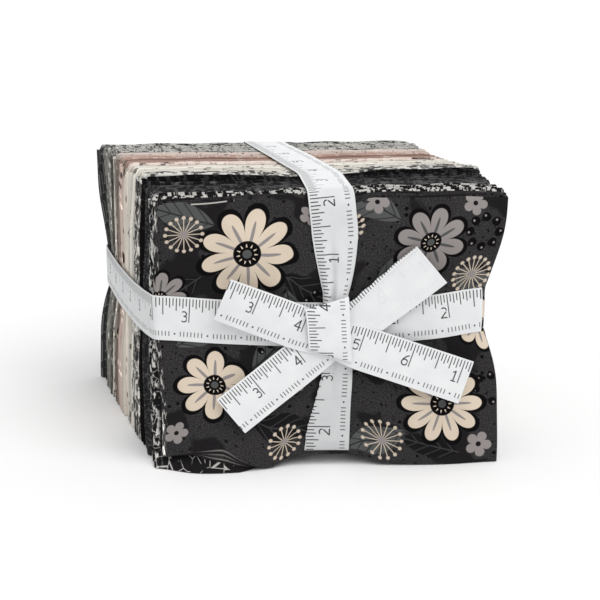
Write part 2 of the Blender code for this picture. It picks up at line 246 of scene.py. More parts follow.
def placed(name, data):
    made = bpy.data.objects.new(name, data)
    bpy.context.scene.collection.objects.link(made)
    return made


def clothMesh(name, grid, flat, thick, shade, swapped=False):
    # a thin closed cloth from a grid of points; flat holds its place on the uncut cloth
    rows, columns = grid.shape[:2]
    total = rows * columns
    normal = -np.cross(np.gradient(grid, axis=1), np.gradient(grid, axis=0))
    normal /= np.maximum(np.linalg.norm(normal, axis=2, keepdims=True), 1e-12)
    skins = [grid + normal * thick / 2, grid - normal * thick / 2]
    points = np.concatenate([s.reshape(-1, 3) for s in skins]) + np.array(stack["frontFoot"])
    index = np.arange(total).reshape(rows, columns)
    a, b = index[:-1, :-1].ravel(), index[:-1, 1:].ravel()
    c, d = index[1:, 1:].ravel(), index[1:, :-1].ravel()
    rim = np.concatenate([index[0, :-1], index[:-1, -1], index[-1, :0:-1], index[:0:-1, 0]])
    ahead = np.roll(rim, -1)
    faces = np.concatenate([np.stack([a, d, c, b], 1), np.stack([a, b, c, d], 1) + total,
                            np.stack([rim, ahead, ahead + total, rim + total], 1)])
    mesh = bpy.data.meshes.new(name)
    mesh.vertices.add(len(points))
    mesh.vertices.foreach_set("co", points.ravel())
    mesh.loops.add(faces.size)
    mesh.loops.foreach_set("vertex_index", faces.ravel())
    mesh.polygons.add(len(faces))
    mesh.polygons.foreach_set("loop_start", np.arange(len(faces)) * 4)
    mesh.update(calc_edges=True)
    swapped, shade = (np.broadcast_to(v, (2, rows, columns)).ravel() for v in (swapped, shade))
    side = np.where(swapped, 1.0, 0.0)      # 1 on the cloth's reverse
    side[total:] = 1 - side[total:]
    place = mesh.attributes.new("cloth", "FLOAT_VECTOR", "POINT")
    place.data.foreach_set("vector", np.column_stack([np.tile(flat.reshape(-1, 2), (2, 1)), side]).ravel())
    # shade scales the colour in the material: painted shade and light, and the cloths' own tone
    light = mesh.attributes.new("shade", "FLOAT", "POINT")
    light.data.foreach_set("value", shade)
    mesh.shade_smooth()
    mesh.set_sharp_from_angle(angle=math.radians(52))
    return placed(name, mesh)

def clothRows(steps, folds, short):
    # four plies from the cloth's foot: share of the layer's depth, of the height, and fold lift
    share, height, lift = [], [], []
    for ply in range(4):
        climbs = ply % 2 == 0
        marks = list(steps if climbs else steps[::-1])
        if ply == 3:
            marks = [h for h in marks if h > short + 0.01] + [short]
        for h in marks:
            share.append((2 * ply + 1) / 8)
            height.append(h)
            lift.append(0.0)
        for n in range(1, folds) if ply < 3 else ():
            angle = math.pi * n / folds
            share.append((2 * ply + 2 - math.cos(angle)) / 8)
            height.append(1.0 if climbs else 0.0)
            lift.append(math.sin(angle) if climbs else -math.sin(angle))
    return [np.array(v)[:, None] for v in (share, height, lift)]


def clothColumns(panelSteps, folds, thirdEnds):
    # three panels in a back-and-forth fold: which part, how far across, and angle round a fold
    part, share, angle = [], [], []
    marks = [0, 0.005, 0.011, 0.021] + list(np.linspace(0, 1, panelSteps + 1)[1:-1]) + [0.979, 0.989, 0.995, 1]
    for panel in range(3):
        ends = ((1, 0), (0, 1), (1, thirdEnds))[panel]
        reach = [m for m in sorted(marks) if m >= min(ends)]
        if panel == 2:
            reach = [thirdEnds] + [m for m in reach if m > thirdEnds + 0.02]
        for s in reach if panel == 1 else reach[::-1]:
            part.append(2 * panel)
            share.append(s)
            angle.append(0.0)
        for n in range(1, folds) if panel < 2 else ():
            part.append(2 * panel + 1)
            share.append(float(ends[1]))
            angle.append(math.pi * n / folds)
    return [np.array(v)[None, :] for v in (part, share, angle)]

# rows and columns of the cloths' meshes, and how many steps round off their folds
fineness = {
    "front": {"columns": 60, "turns": (6, 8), "rows": [0, 0.005, 0.012, *np.linspace(0.021, 1, 47)]},
    "outer": {"columns": 34, "turns": (6, 8), "rows": np.linspace(0, 1, 27)},
    "inner": {"columns": 14, "turns": (4, 6),
              "rows": [0, 0.03, 0.09, 0.18, 0.30, 0.41, 0.47, 0.53, 0.60, 0.67, 0.80, 0.92, 0.98, 1.0]},
}
# how unevenly the cloths lie; waves are given as height and turns per metre
uneven = {
    "rise": 0.0005,            # of one top past the next
    "slip": 0.0007,            # of one side past the next
    "frontSlip": 0.0032,       # of the front cloth's lower left corner, inwards
    "sides": ((0.0004, 60), (0.0002, 170)),
    "tops": ((0.00035, 74), (0.00020, 190)),
    "crest": 0.0008,           # how much higher a cloth's middle plies stand
}
# how the upright ribbon presses the tops flat
press = {"half": 0.0125, "fades": 0.008, "dip": 0.0038, "dipDepth": 0.0042}


def waves(at, sizes, starts):
    return sum(high * np.sin(at * rate + start) for (high, rate), start in zip(sizes, starts))


def depthInside(across, part, ply, angle):
    # depth within a cloth: two layers at the left, three from the third panel on
    three = ease((across + stack["thirdFrom"]) / stack["thirdOver"])
    firstBack = pitch * (1 / 2 - three / 6)
    secondBack = pitch * (1 - three / 3)
    return np.select(
        [part == 0, part == 1, part == 2, part == 3],
        [ply * firstBack, firstBack - (1 - ply) * firstBack * np.cos(angle),
         firstBack + (1 - ply) * (secondBack - firstBack),
         secondBack - ply * (secondBack - firstBack) * np.cos(angle)],
        secondBack + ply * (pitch - secondBack))


def flatPlace(part, share, angle, ply, height, lift, shift):
    # where each point lies on the uncut cloth
    panel, bend, reach = stack["panel"], math.pi * pitch / 2, stack["tall"]
    flatX = np.select(
        [part == 0, part == 1, part == 2, part == 3],
        [share * panel, -bend * angle / math.pi, -bend - share * panel,
         -bend - panel - bend * angle / math.pi],
        -2 * bend - panel - (1 - share) * panel)
    order = np.floor(ply * 4)
    flatZ = order * reach + np.where(order % 2 == 0, height, 1 - height) * reach
    flatZ = np.where(lift != 0, np.round(ply * 4) * reach, flatZ)
    return np.stack(np.broadcast_arrays(flatX, flatZ + shift * reach), 2)


def clothToneAndShade(number, part, ply, height, lift, z):
    # each cloth's side fold and top at their own lightness, partly its tone and partly painted shade
    if number:
        return np.where(part == 1, toneAndPaintedShade["side"][number], toneAndPaintedShade["top"][number])
    # the plies that show under the front cloth's lifted corner: painted shadow at their feet and folds, and
    # plies painted lighter and darker in turn
    inner = np.select([(lift < 0) | (height == 0), height < 0.006, ply > 0.8, ply > 0.6, ply > 0.3],
                      lifted["light"][:-1], lifted["light"][-1])
    shade = np.where((part == 0) & (ply < 0.2), 1.0, np.where(part < 3, inner, 1.0))
    return mix(shade, 1.0, ease((z - 0.020) / 0.010))


def foldedCloth(name, number, dice):
    front, outer = number == 0, number < 3 or number > 29
    near = number * pitch
    centre = near + pitch / 2
    middle = float(ribbonMiddle(centre))
    tall = stack["tall"] + stack["crown"] * centre / stack["deep"]
    rise = 0.0 if front else dice.uniform(-uneven["rise"], uneven["rise"])
    slips = [dice.uniform(-uneven["slip"], uneven["slip"]) for _ in range(4)]
    if front:
        slips = [uneven["frontSlip"], 0.0, 0.0, 0.0]
    starts = [dice.uniform(0, 6.28) for _ in range(6)]
    fine = fineness["front" if front else "outer" if outer else "inner"]
    ply, height, lift = clothRows(fine["rows"], fine["turns"][0], 0.0 if front else stack["shortPly"])
    leftX, rightX = byDepth(outline, "leftHeld", centre), byDepth(outline, "rightHeld", centre)
    thirdEnds = (stack["thirdPanelEnds"] + middle - leftX) / (rightX - leftX)
    part, share, angle = clothColumns(fine["columns"], fine["turns"][1], thirdEnds)
    inside = depthInside(mix(leftX, rightX, share) - middle, part, ply, angle)
    depth = near + inside

    # sides, for heights from foot to top
    hold = levelHeight(np.where(share < 0.5, leftX, rightX), centre)
    rawEnd = np.where(part == 0, 0.0, stack["sideRound"])

    def edgeToEdge(z):
        left = sideEdge("left", number, z, hold, tall, slips[0::2])
        right = sideEdge("right", number, z, hold, tall, slips[1::2])
        sway = waves(z, uneven["sides"], starts[2:4])
        return mix(left + sway + stack["sideRound"], right - sway - rawEnd, share)
    guess = edgeToEdge(tall * height)
    spots = [leftX, *(middle + a for a in overWidth["at"]), rightX + 0.006]

    def widthwise(key, x):
        return through(x, spots, overWidth[key])

    # heights
    beside = np.where(guess < middle, byDepth(tops, "left", depth), byDepth(tops, "right", depth))
    behind = ease((depth - 0.006) / 0.012)
    drop = (tall - beside) * mix(widthwise("frontTops", guess), widthwise("tops", guess), behind)
    for inward, key in ((share, "left"), (1 - share, "right")):    # rounded upper corners
        radius = byDepth(corners, key, centre) * dice.uniform(0.75, 1.25)
        short = np.clip(radius - inward * (rightX - leftX), 0, radius)
        drop = drop + radius - np.sqrt(radius * radius - short * short)
    ripple = waves(guess, uneven["tops"], (starts[0] + 5 * part, starts[1] + 3 * part))
    underRibbon = 1 - ease((np.abs(guess - middle) - press["half"]) / press["fades"])
    dip = press["dip"] * np.exp(-((depth + 0.0004) / press["dipDepth"]) ** 1.6) * underRibbon
    crest = uneven["crest"] * (2 * inside / pitch - 1) ** 2
    top = tall - drop + (rise + ripple) * (1 - underRibbon) - crest - dip
    foot = stack["dent"] * widthwise("foot", guess)
    if front:
        order = np.select([part == 0, part == 1, part == 2],
                          [ply / 2, ply / 2 + (1 - ply) * angle / math.pi, 1 - ply / 2], 1.0)
        foot = foot + mix(through(guess, lifted["x"], lifted["first"]),
                          through(guess, lifted["x"], lifted["last"]), order)
    foot = foot + stack["clearance"]
    bend = pitch / 24
    z = foot + (top - bend - foot) * height + bend * lift

    # across
    x = edgeToEdge(z)
    bulge = stack["sideRound"] * np.sin(angle) / 0.875
    x = x - np.where(part == 1, bulge * (1 - ply), 0.0) + np.where(part == 3, bulge * ply, 0.0)
    x = x + np.where((part == 0) & (share > 0.99), 0.0004 * np.sin(ply * 23 + starts[4]), 0.0)

    # forward and back
    level = levelHeight(x, depth)
    between = np.where(z > level, (tall - z) / (tall - level - stack["grip"]), z / (level - stack["grip"]))
    swell = widthwise("swell", x) * mix(0.3, 1.0, ease(between / 0.45)) * ease((1 - between) / 0.55)
    fan = widthwise("fan", x) * np.clip(1 - z / 0.032, 0, 1) ** 1.6
    fanned = np.clip((3.4 * pitch - depth) / (1.8 * pitch), 0, 1)
    looseFront = np.clip(1 - depth / (3 * pitch), 0, 1)
    looseBack = np.clip(1 - (stack["deep"] - depth) / (2 * pitch), 0, 1)
    y = depth - standForward(x, depth) - (looseFront - 0.7 * looseBack) * stack["bulge"] * swell - fanned * fan
    if number in (1, 2):    # under the lifted corner the next cloths' feet stand further out
        out = np.clip(2.6 - depth / pitch, 0, 1) * np.clip(1 - z / 0.0052, 0, 1) ** 1.2
        y = y - widthwise("thrust", x) * out
    if outer:
        y = y - (looseFront - looseBack) * ridges(x, z) * (1 - 0.6 * looseBack)

    shift = 0 if front else 2 * round(dice.uniform(-6, 6))
    return clothMesh(name, np.stack(np.broadcast_arrays(x, y, z), 2),
                     flatPlace(part, share, angle, ply, height, lift, shift), stack["clothThick"],
                     clothToneAndShade(number, part, ply, height, lift, z))

ribbon = {
    "wide": 0.0222,
    "thick": 0.0003,
    "clear": 0.00055,      # off the cloth that it presses
    "inch": 0.0254,
    "shade": 1.03,         # painted light: the tails and the knot drawn a little lighter than the other strips
}
# tails: x and z of points along the middle, how far off they cross, how far the ends lift
tails = {
    "name": ("ribbon_tail_falling", "ribbon_tail_rising"),
    "x": ((-0.0525, -0.0120, -0.0006, 0.0100, 0.0656), (-0.0490, -0.0247, -0.0121, -0.0005, 0.0164, 0.0479)),
    "z": ((0.0885, 0.0719, 0.0677, 0.0643, 0.0452), (0.0290, 0.0479, 0.0580, 0.0652, 0.0779, 0.1043)),
    "off": (0.0049, 0.0036),
    "lift": ((0.0040, 0.0025), (0.0050, 0.0030)),
    "turn": ((4, -4), (-3, -6)),
    "phase": (0.0602, 0.0562),     # where on the ruler the strip starts
    "slack": ((0.0, 0.0044), (0.0, 0.0)),     # ruler hidden in the knot, for the left and right end
    "widens": (0.0, 0.11),         # by how much the right end is wider
    "fold": (0.0040, 0.0013),      # upper edge of the upper right end folded forward: at the knot, at the end
}

def frontFace(x):
    return stack["frontGap"] - standForward(x, stack["frontGap"])


frontMiddle = float(frontFace(0.0))
frontLean = (frontFace(0.014) - frontFace(-0.014)) / 0.028


def unit(v):
    return v / np.linalg.norm(v, axis=1, keepdims=True)


def runAlong(path):
    # how far each point lies along the path
    return np.concatenate([[0], np.cumsum(np.linalg.norm(np.diff(path, axis=0), axis=1))])


def resampled(path, gap):
    # a closed path's points, evenly spaced
    points = np.vstack([path, path[:1]])
    run = runAlong(points)
    at = np.linspace(0, run[-1], max(8, int(run[-1] / gap)) + 1)[:-1]
    return np.stack([np.interp(at, run, column) for column in points.T], 1)


def smoothed(path, rounds, closed=True):
    for _ in range(rounds):
        if closed:
            path = (np.roll(path, 1, 0) + 2 * path + np.roll(path, -1, 0)) / 4
        else:
            path = np.vstack([path[:1], (path[:-2] + 2 * path[1:-1] + path[2:]) / 4, path[-1:]])
    return path


def around(corners, clear):
    # a closed path clear of a polygon that runs anticlockwise, rounded at its corners
    path = []
    for n, here in enumerate(corners):
        before, after = Vector(corners[n - 1]), Vector(corners[(n + 1) % len(corners)])
        here = Vector(here)
        back, on = (here - before).normalized(), (after - here).normalized()
        first = math.atan2(-back.x, back.y)
        turn = math.atan2(back.x * on.y - back.y * on.x, back.dot(on))
        steps = 6 if turn > 0.4 else 0
        reach = clear if steps else clear / max(0.5, math.cos(turn / 2))
        for k in range(steps + 1):
            bearing = first + (turn * k / steps if steps else turn / 2)
            path.append((here.x + reach * math.cos(bearing), here.y + reach * math.sin(bearing)))
    return np.array(path)


def ribbonStrip(name, path, upward, reading, crossing, closed=False, swapped=False, narrow=1.0, strands=17,
                shade=1.0):
    # path is the middle line, upward points to the ticked edge, reading is added to the run for the ruler
    if closed:
        path, upward = (np.vstack([v, v[:1]]) for v in (path, upward))
    run = runAlong(path)
    ahead = np.gradient(path, axis=0)
    if closed:
        ahead[0] = ahead[-1] = path[1] - path[-2]
    ahead = unit(ahead)
    upward = unit(upward - ahead * np.sum(upward * ahead, 1, keepdims=True))
    t = np.linspace(1, -1, strands)[:, None]
    half = ribbon["wide"] / 2 * np.broadcast_to(narrow, len(path))[None, :]
    aside, proud = (v[..., None] for v in crossing(t, run[None, :], half))
    grid = path + aside * upward - proud * np.cross(upward, ahead)
    flat = np.stack(np.broadcast_arrays(run + reading, t * ribbon["wide"] / 2), 2)
    return clothMesh(name, grid, flat, ribbon["thick"], shade, swapped)


def levelRibbon():
    # round the bundle at half its height
    spots = [outline["leftHeld"][0], *overWidth["at"], outline["rightHeld"][0]]
    turns = [(x, float(frontFace(x))) for x in spots]
    for depth, x in list(zip(outline["depth"], outline["rightHeld"]))[1:]:
        turns.append((x, float(depth - standForward(x, depth))))
    for depth, x in list(zip(outline["depth"], outline["leftHeld"]))[:0:-1]:
        turns.append((x + float(sideBow(depth)) * 0.6, depth))
    plan = smoothed(resampled(around(turns, ribbon["clear"]), 0.0015), 4)
    path = np.column_stack([plan, levelHeight(plan[:, 0], plan[:, 1])])
    inchX, inch = levelDip["inch"]
    near = int(np.argmin(np.abs(path[:, 0] - inchX) + np.maximum(0, path[:, 1])))
    reading = inch * ribbon["inch"] - runAlong(path)[near]

    def crossing(t, run, half):
        cup = 0.0005 * t ** 2 + 0.00018 * np.sin(run * 90 + 2 * t) * np.abs(t)
        return t * half, 0.0002 - cup * 0.4
    return ribbonStrip("ribbon_level_cloth", path, np.tile([0.0, 0.0, 1.0], (len(path), 1)), reading, crossing,
                       closed=True)


def inchAt(path, run, height, inch):
    # what to add to the run along the path, so that an inch mark falls at this height on the front
    near = int(np.argmin(np.abs(path[:, 2] - height) + np.maximum(0, path[:, 1] + 0.004)))
    return inch * ribbon["inch"] - run[near] - upright["slack"] * (run - run[near])


def uprightRibbon():
    # over the top, down the front and the back, and under; its ends meet behind the foot
    deep, dent, straight = stack["deep"], stack["dent"], stack["straight"]
    face, top = frontMiddle, stack["tall"] - 0.0005
    front, back = float(levelHeight(0.0, 0.0)), float(levelHeight(stack["drift"], deep))
    over = ribbon["clear"] + 0.0008
    turns = [
        (face + 0.0028, dent - 0.0004), (straight, dent), (deep, dent), (deep, back - 0.022),
        (deep + over, back - 0.013), (deep + over, back + 0.013), (deep, back + 0.022),
        (deep, top + 0.0012), (0.090, top + 0.0018), (straight, top + 0.0016), (face + 0.0062, top + 0.0010),
        (face + 0.0018, top), (face - 0.0004, top - 0.0040),
        (face, front + 0.026), (face - over, front + 0.013), (face - over, front - 0.013),
        (face, front - 0.024), (face, dent + 0.003)]
    line = smoothed(resampled(around(turns, ribbon["clear"] + 0.0001), 0.0012), 6)[::-1]
    # walked up the front, so the ticks lie at the viewer's left
    line = np.roll(line, -int(np.argmax(line[:, 0] * 10 - line[:, 1])), axis=0)
    y, z = line.T
    onFront = 1 - ease((y - face - 0.0005) / 0.010)
    x = mix(ribbonMiddle(y), through(z, upright["z"], upright["x"]), onFront)
    path = np.column_stack([smoothed(x[:, None], 30)[:, 0], y, z])
    run = runAlong(path)
    reading = np.where((z > front) | (y > 0.02), inchAt(path, run, *upright["inchAbove"]),
                       inchAt(path, run, *upright["inchBelow"]))
    loose = np.clip(1 - np.maximum(0, y) / stack["puffEnds"], 0, 1) ** 2
    upward = np.column_stack([np.full(len(path), -1.0), -frontLean * loose, np.zeros(len(path))])
    # painted shade darker towards the foot, painted light where it runs over the top
    shade = mix(*upright["shade"], np.clip(z / 0.110, 0, 1))
    shade = mix(shade, upright["topPaintedLight"], (1 - onFront) * ease((z - 0.120) / 0.010))

    def onFrontOnly(key, rest):
        found = rest + (through(z, upright["z"], upright[key]) - rest) * onFront
        return np.append(found, found[0])
    wide, turned, ridge = onFrontOnly("wide", 1.0), onFrontOnly("turned", 0.0), onFrontOnly("ridge", 0.0)
    valley = np.append(np.where(z > front, *upright["valley"]), 0.0)

    def crossing(t, run, half):
        # gathered towards the knot: two soft ridges with a valley between, one edge rolled under
        edge = 1 - 2 * turned
        under = np.clip((t - edge) / 0.08, 0, 1)
        aside = np.where(t > edge, 2 * edge - t, t) * wide
        humps = ridge * (1 - np.exp(-((t - valley) / 0.19) ** 2)) * (1 - t ** 4)
        return aside * half, humps - 0.0004 * under + 0.0003 * (turned > 0.01) + 0.00012 * np.sin(run * 60) * t
    return ribbonStrip("ribbon_upright_cloth", path, upward, np.append(reading, reading[-1]), crossing,
                       closed=True, strands=33, shade=np.append(shade, shade[0]))


def tailRibbon(k):
    startX, startZ = tails["x"][k], tails["z"][k]
    x = np.linspace(startX[0], startX[-1], 70)
    z = smoothed(np.interp(x, startX, startZ)[:, None], 12, closed=False)[:, 0]

    def oneEnd(key):
        return np.where(x < 0, *tails[key][k])
    lift = oneEnd("lift") * np.maximum(0, np.abs(x) / 0.055 - 0.25) ** 1.3
    path = np.column_stack([x, frontMiddle + frontLean * x - tails["off"][k] - lift, z])
    ahead = unit(np.gradient(path, axis=0))
    up = np.cross(np.array([0.0, -1.0, 0.0]), ahead)
    up[:, 1] = up[:, 0] * frontLean
    up = unit(up)
    turn = (np.radians(oneEnd("turn")) * np.maximum(0, np.abs(x) / 0.05 - 0.6) * 2)[:, None]
    up = up * np.cos(turn) + np.cross(ahead, up) * np.sin(turn)
    rising = k == 1
    narrow = 1 - 0.18 * np.exp(-(x / 0.009) ** 2) + tails["widens"][k] * ease(x / 0.012)
    fold = np.where(rising & (x > 0.004), mix(*tails["fold"], ease((x - 0.008) / 0.036)), 0.0)

    def crossing(t, run, half):
        bow = 0.0006 * (1 - t ** 2) + 0.0004 * np.sin(run * 45 + 1.5 * t)
        edge = 1 - fold / half
        over = np.clip((t - edge) * half / 0.0006, 0, 1)
        return np.where(t > edge, 2 * edge - t, t) * half + fold / 2, bow + 0.0006 * over
    return ribbonStrip(tails["name"][k] + "_cloth", path, up, tails["phase"][k] - oneEnd("slack"), crossing,
                       swapped=rising & (x > 0.0), narrow=narrow, strands=33 if rising else 17,
                       shade=ribbon["shade"])


# the short wrap over the crossing: low and high ends at its right and left edge, and x of its middle
knot = {
    "wide": 0.0208,
    "low": (0.0555, 0.0630),
    "high": (0.0890, 0.0828),
    "x": (-0.0005, -0.0024),
    "off": (0.0064, 0.0080),       # in front of the cloth at its ends and its middle
    "inch": (0.0868, 4),           # height of one inch mark, and which
}


def knotRibbon():
    t = np.linspace(1, -1, 17)[:, None]
    s = np.linspace(0, 1, 40)[None, :]
    low, high = (mix(*knot[key], (t + 1) / 2) for key in ("low", "high"))
    z = mix(low, high, ease(s) * 0.35 + s * 0.65)
    bell = np.clip(4 * s * (1 - s), 0, 1) ** 0.35
    off = mix(*knot["off"], bell) + 0.0003 * np.sin(s * 9 + t * 2) + 0.0004 * (1 - t ** 2)
    x = mix(*knot["x"], s) - t * knot["wide"] / 2
    grid = np.stack(np.broadcast_arrays(x, frontMiddle + frontLean * x - off, z), 2)
    inchZ, inch = knot["inch"]
    flat = np.stack(np.broadcast_arrays(z - inchZ + inch * ribbon["inch"], t * ribbon["wide"] / 2), 2)
    round(float(np.max(high - low)), 3)
    return clothMesh("ribbon_knot_cloth", grid, flat, ribbon["thick"], ribbon["shade"])

class Thread:
    # one socket of a material; arithmetic on it adds the Math nodes
    def __init__(self, tree, socket):
        self.tree, self.socket = tree, socket

    def node(self, kind, settings=None, inputs=None, output=0):
        made = self.tree.nodes.new(kind)
        for key, value in (settings or {}).items():
            if key == "stops":
                ramp = made.color_ramp.elements
                while len(ramp) < len(value):
                    ramp.new(0.5)
                for stop, (place, colour) in zip(ramp, value):
                    stop.position, stop.color = place, (*colour, 1.0)
            else:
                setattr(made, key, value)
        for key, value in (inputs or {}).items():
            if isinstance(value, Thread):
                self.tree.links.new(value.socket, made.inputs[key])
            else:
                made.inputs[key].default_value = value
        return Thread(self.tree, made.outputs[output])

    def math(self, operation, *others):
        return self.node("ShaderNodeMath", {"operation": operation}, dict(enumerate((self, *others))))

    def vector(self, operation, *others, output=0):
        return self.node("ShaderNodeVectorMath", {"operation": operation},
                         dict(enumerate((self, *others))), output)

    def __add__(self, other):
        return self.math("ADD", other)

    __radd__ = __add__

    def __sub__(self, other):
        return self.math("SUBTRACT", other)

    def __rsub__(self, other):
        return self.node("ShaderNodeMath", {"operation": "SUBTRACT"}, {0: other, 1: self})

    def __mul__(self, other):
        return self.math("MULTIPLY", other)

    __rmul__ = __mul__

    def __pow__(self, other):
        return self.math("POWER", other)

    def __mod__(self, other):
        return self.math("FLOORED_MODULO", other)

    def __abs__(self):
        return self.math("ABSOLUTE")

    def __or__(self, other):      # either mask
        return self.math("MAXIMUM", other)

    def softEdge(self, reach, blur, low, high):
        return self.node("ShaderNodeMapRange", None,
                         {0: self, 1: reach - blur, 2: reach + blur, 3: low, 4: high})

    def within(self, reach, blur=0.12):
        # 1 below reach and 0 above it
        return self.softEdge(reach, blur, 1.0, 0.0)

    def beyond(self, reach, blur=0.12):
        return self.softEdge(reach, blur, 0.0, 1.0)

    def covered(self, colour, mask):
        # this colour with another laid over it where the mask is 1
        return self.node("ShaderNodeMix", {"data_type": "RGBA"}, {0: mask, 6: self, 7: paint(colour)}, 2)

    def off(self, x, y):
        return self.vector("SUBTRACT", (x, y, 0.0))

    def far(self, x, y):
        return self.vector("DISTANCE", (x, y, 0.0), output=1)

    def joined(self, y):
        return self.node("ShaderNodeCombineXYZ", None, {0: self, 1: y, 2: 0.0})

    def scaled(self, amount):
        return self.node("ShaderNodeVectorMath", {"operation": "SCALE"}, {0: self, 3: amount})

    def noise(self, scale, detail=2.0, rough=0.5):
        return self.node("ShaderNodeTexNoise", None,
                         {"Vector": self, "Scale": scale, "Detail": detail, "Roughness": rough})

    def cells(self, scale, feature="F1", scatter=1.0):
        return self.node("ShaderNodeTexVoronoi", {"feature": feature},
                         {"Vector": self, "Scale": scale, "Randomness": scatter})

    def flecks(self, scale, share, blur, wide=None):
        # rough spots where the noise is above this share
        return (self.stretched(*wide) if wide else self).noise(scale, 3.0, 0.6).beyond(share, blur)

    def stretched(self, x, y, move=(0.0, 0.0)):
        return self.vector("MULTIPLY", (x, y, 1.0)).vector("ADD", (*move, 0.0))

    def parts(self):
        split = self.node("ShaderNodeSeparateXYZ", None, {0: self}).socket.node
        return [Thread(self.tree, s) for s in split.outputs]

def paint(colour):
    return colour if isinstance(colour, Thread) else (*colour, 1.0)


def either(masks):
    total = masks[0]
    for mask in masks[1:]:
        total = total | mask
    return total


def spot(at, centre, radius):
    return at.far(*centre).within(radius, 0.15)


def fromMiddle(at, centre):
    # place, distance and bearing from a motif's middle
    apart = at.off(*centre)
    x, y, _ = apart.parts()
    return apart.vector("LENGTH", output=1), y.math("ARCTAN2", x)


def bloom(at, centre, petals, inner, outer, turn, plump=0.6):
    far, bearing = fromMiddle(at, centre)
    wave = abs((bearing * (petals / 2) + turn).math("COSINE")) ** plump
    return (far - wave * (outer - inner)).within(inner, 0.2)


def leaf(at, base, heading, long, wide):
    apart = at.off(*base)
    turned = apart.node("ShaderNodeVectorRotate", {"rotation_type": "Z_AXIS"},
                        {"Vector": apart, "Angle": -math.radians(heading)})
    x, y, _ = turned.parts()
    share = x * (1 / long)
    return (abs(y) - share * (1 - share) * (4 * wide)).within(0.0, 0.2), y, share


def seedHead(at, centre, reach, spokes):
    far, bearing = fromMiddle(at, centre)
    aside = ((bearing * (spokes / (2 * math.pi)) + 0.5).math("FRACT") - 0.5) * (2 * math.pi / spokes) * far
    line = abs(aside).within(0.22, 0.12) * far.within(reach, 0.3) * far.beyond(reach * 0.2, 0.3)
    return line | (aside * aside + (far - reach) ** 2).math("SQRT").within(0.95, 0.2)


def fruitRing(at, centre, reach, count):
    # round berries in a ring, each with a small light spot
    far, bearing = fromMiddle(at, centre)
    aside = ((bearing * (count / (2 * math.pi)) + reach).math("FRACT") - 0.5) * far * (2 * math.pi / count)
    fruit = (aside * aside + (far - reach) ** 2).math("SQRT").within(reach * 0.30, 0.15)
    shine = ((aside - 0.5) ** 2 + (far - reach - 0.6) ** 2).math("SQRT").within(0.55, 0.15)
    return fruit, shine

black, ink = (0.006, 0.0055, 0.006), (0.012, 0.011, 0.012)
cream, stone = (0.66, 0.56, 0.45), (0.27, 0.245, 0.24)
charcoal, slate = (0.040, 0.038, 0.039), (0.085, 0.088, 0.087)

# the front cloth's own flowers and leaves; places in mm from its lower left corner
daisies = {
    "x": (44, 134, 26, 141, 101, 1, 168),
    "y": (110, 117, 36, 33, 60, 88, 74),
    "size": (23, 17, 19, 21, 13, 14, 13),
    "petals": (9, 8, 8, 10, 7, 8, 8),
    "turn": (0.2, 0.9, 0.5, 0.1, 0.7, 0.4, 0.3),
    "colour": (cream, stone, cream, cream, stone, stone, cream),
}
leaves = {
    "x": (62, 66, 28, 22, 118, 150, 42, 46, 122, 124, 8, 112, 150),
    "y": (98, 90, 126, 98, 128, 102, 24, 50, 18, 46, 60, 90, 6),
    "heading": (-24, -70, 160, 215, 150, -25, -20, 40, 205, 150, 20, 60, 165),
    "long": (36, 30, 32, 28, 32, 30, 36, 32, 34, 30, 32, 28, 32),
    "wide": (7.4, 6.4, 7.0, 6.2, 6.8, 6.6, 7.6, 6.8, 7.2, 6.4, 6.4, 6.0, 6.2),
}
seedHeads = {"x": (13, 160, 110, 60, 92), "y": (122, 100, 12, 10, 126), "reach": (9, 9, 10, 8, 8),
             "spokes": (16, 18, 15, 14, 15)}
posies = {"x": (74, 106, 160, 68, 5, 124, 154), "y": (132, 137, 10, 42, 12, 90, 136),
          "size": (5.5, 6, 7, 6, 6, 5.5, 6)}
berries = {"x": (18, 160, 118, 52, 166, 84), "y": (70, 122, 70, 66, 40, 84), "reach": (7, 7.5, 6, 6, 7, 7),
           "count": (7, 8, 7, 6, 7, 8)}

# colours of each print: its ground, then what lies on it, in the order of its masks; the darker colours laid
# over the left fold are partly painted shade
dyes = {
    "charcoal_floral": (charcoal, (0.016, 0.015, 0.017), (0.095, 0.090, 0.091), ink, black, black,
                        (0.50, 0.49, 0.46)),
    "black_speckle": ((0.014, 0.013, 0.014), (0.48, 0.47, 0.45), (0.62, 0.61, 0.58)),
    "black_fleck": ((0.022, 0.021, 0.023), (0.105, 0.102, 0.104), (0.11, 0.11, 0.11)),
    "black_dash": ((0.009, 0.0088, 0.0094), (0.105, 0.102, 0.104)),
    "white_dash": ((0.74, 0.72, 0.67), (0.33, 0.32, 0.31), (0.05, 0.048, 0.05), (0.03, 0.028, 0.03)),
    "cream_plain": ((0.75, 0.715, 0.65), (0.60, 0.555, 0.49), (0.13, 0.12, 0.11)),
    "pink_dash": ((0.69, 0.585, 0.53), (0.75, 0.69, 0.63), (0.42, 0.29, 0.25), (0.60, 0.55, 0.48),
                  (0.06, 0.04, 0.035)),
    "rose_tick": ((0.53, 0.435, 0.395), (0.40, 0.295, 0.255), (0.47, 0.30, 0.245), (0.245, 0.195, 0.17),
                  (0.04, 0.03, 0.028), (0.70, 0.59, 0.52)),
    "pale_mark": ((0.60, 0.515, 0.47), (0.34, 0.32, 0.28), (0.76, 0.70, 0.63), (0.06, 0.055, 0.05)),
    "grey_fleck": ((0.47, 0.46, 0.435), (0.135, 0.13, 0.115), (0.065, 0.065, 0.058), (0.62, 0.61, 0.58)),
    "slate_dot": ((0.46, 0.46, 0.44), (0.032, 0.033, 0.034), (0.13, 0.135, 0.125)),
}
# where the folds fall on the uncut cloths: mm left of the first panel, and up to the top
foldsAt = {"left": 3.7, "leftHalf": 5.0, "top": 138.5, "topEvery": 277.0, "topHalf": 1.6}


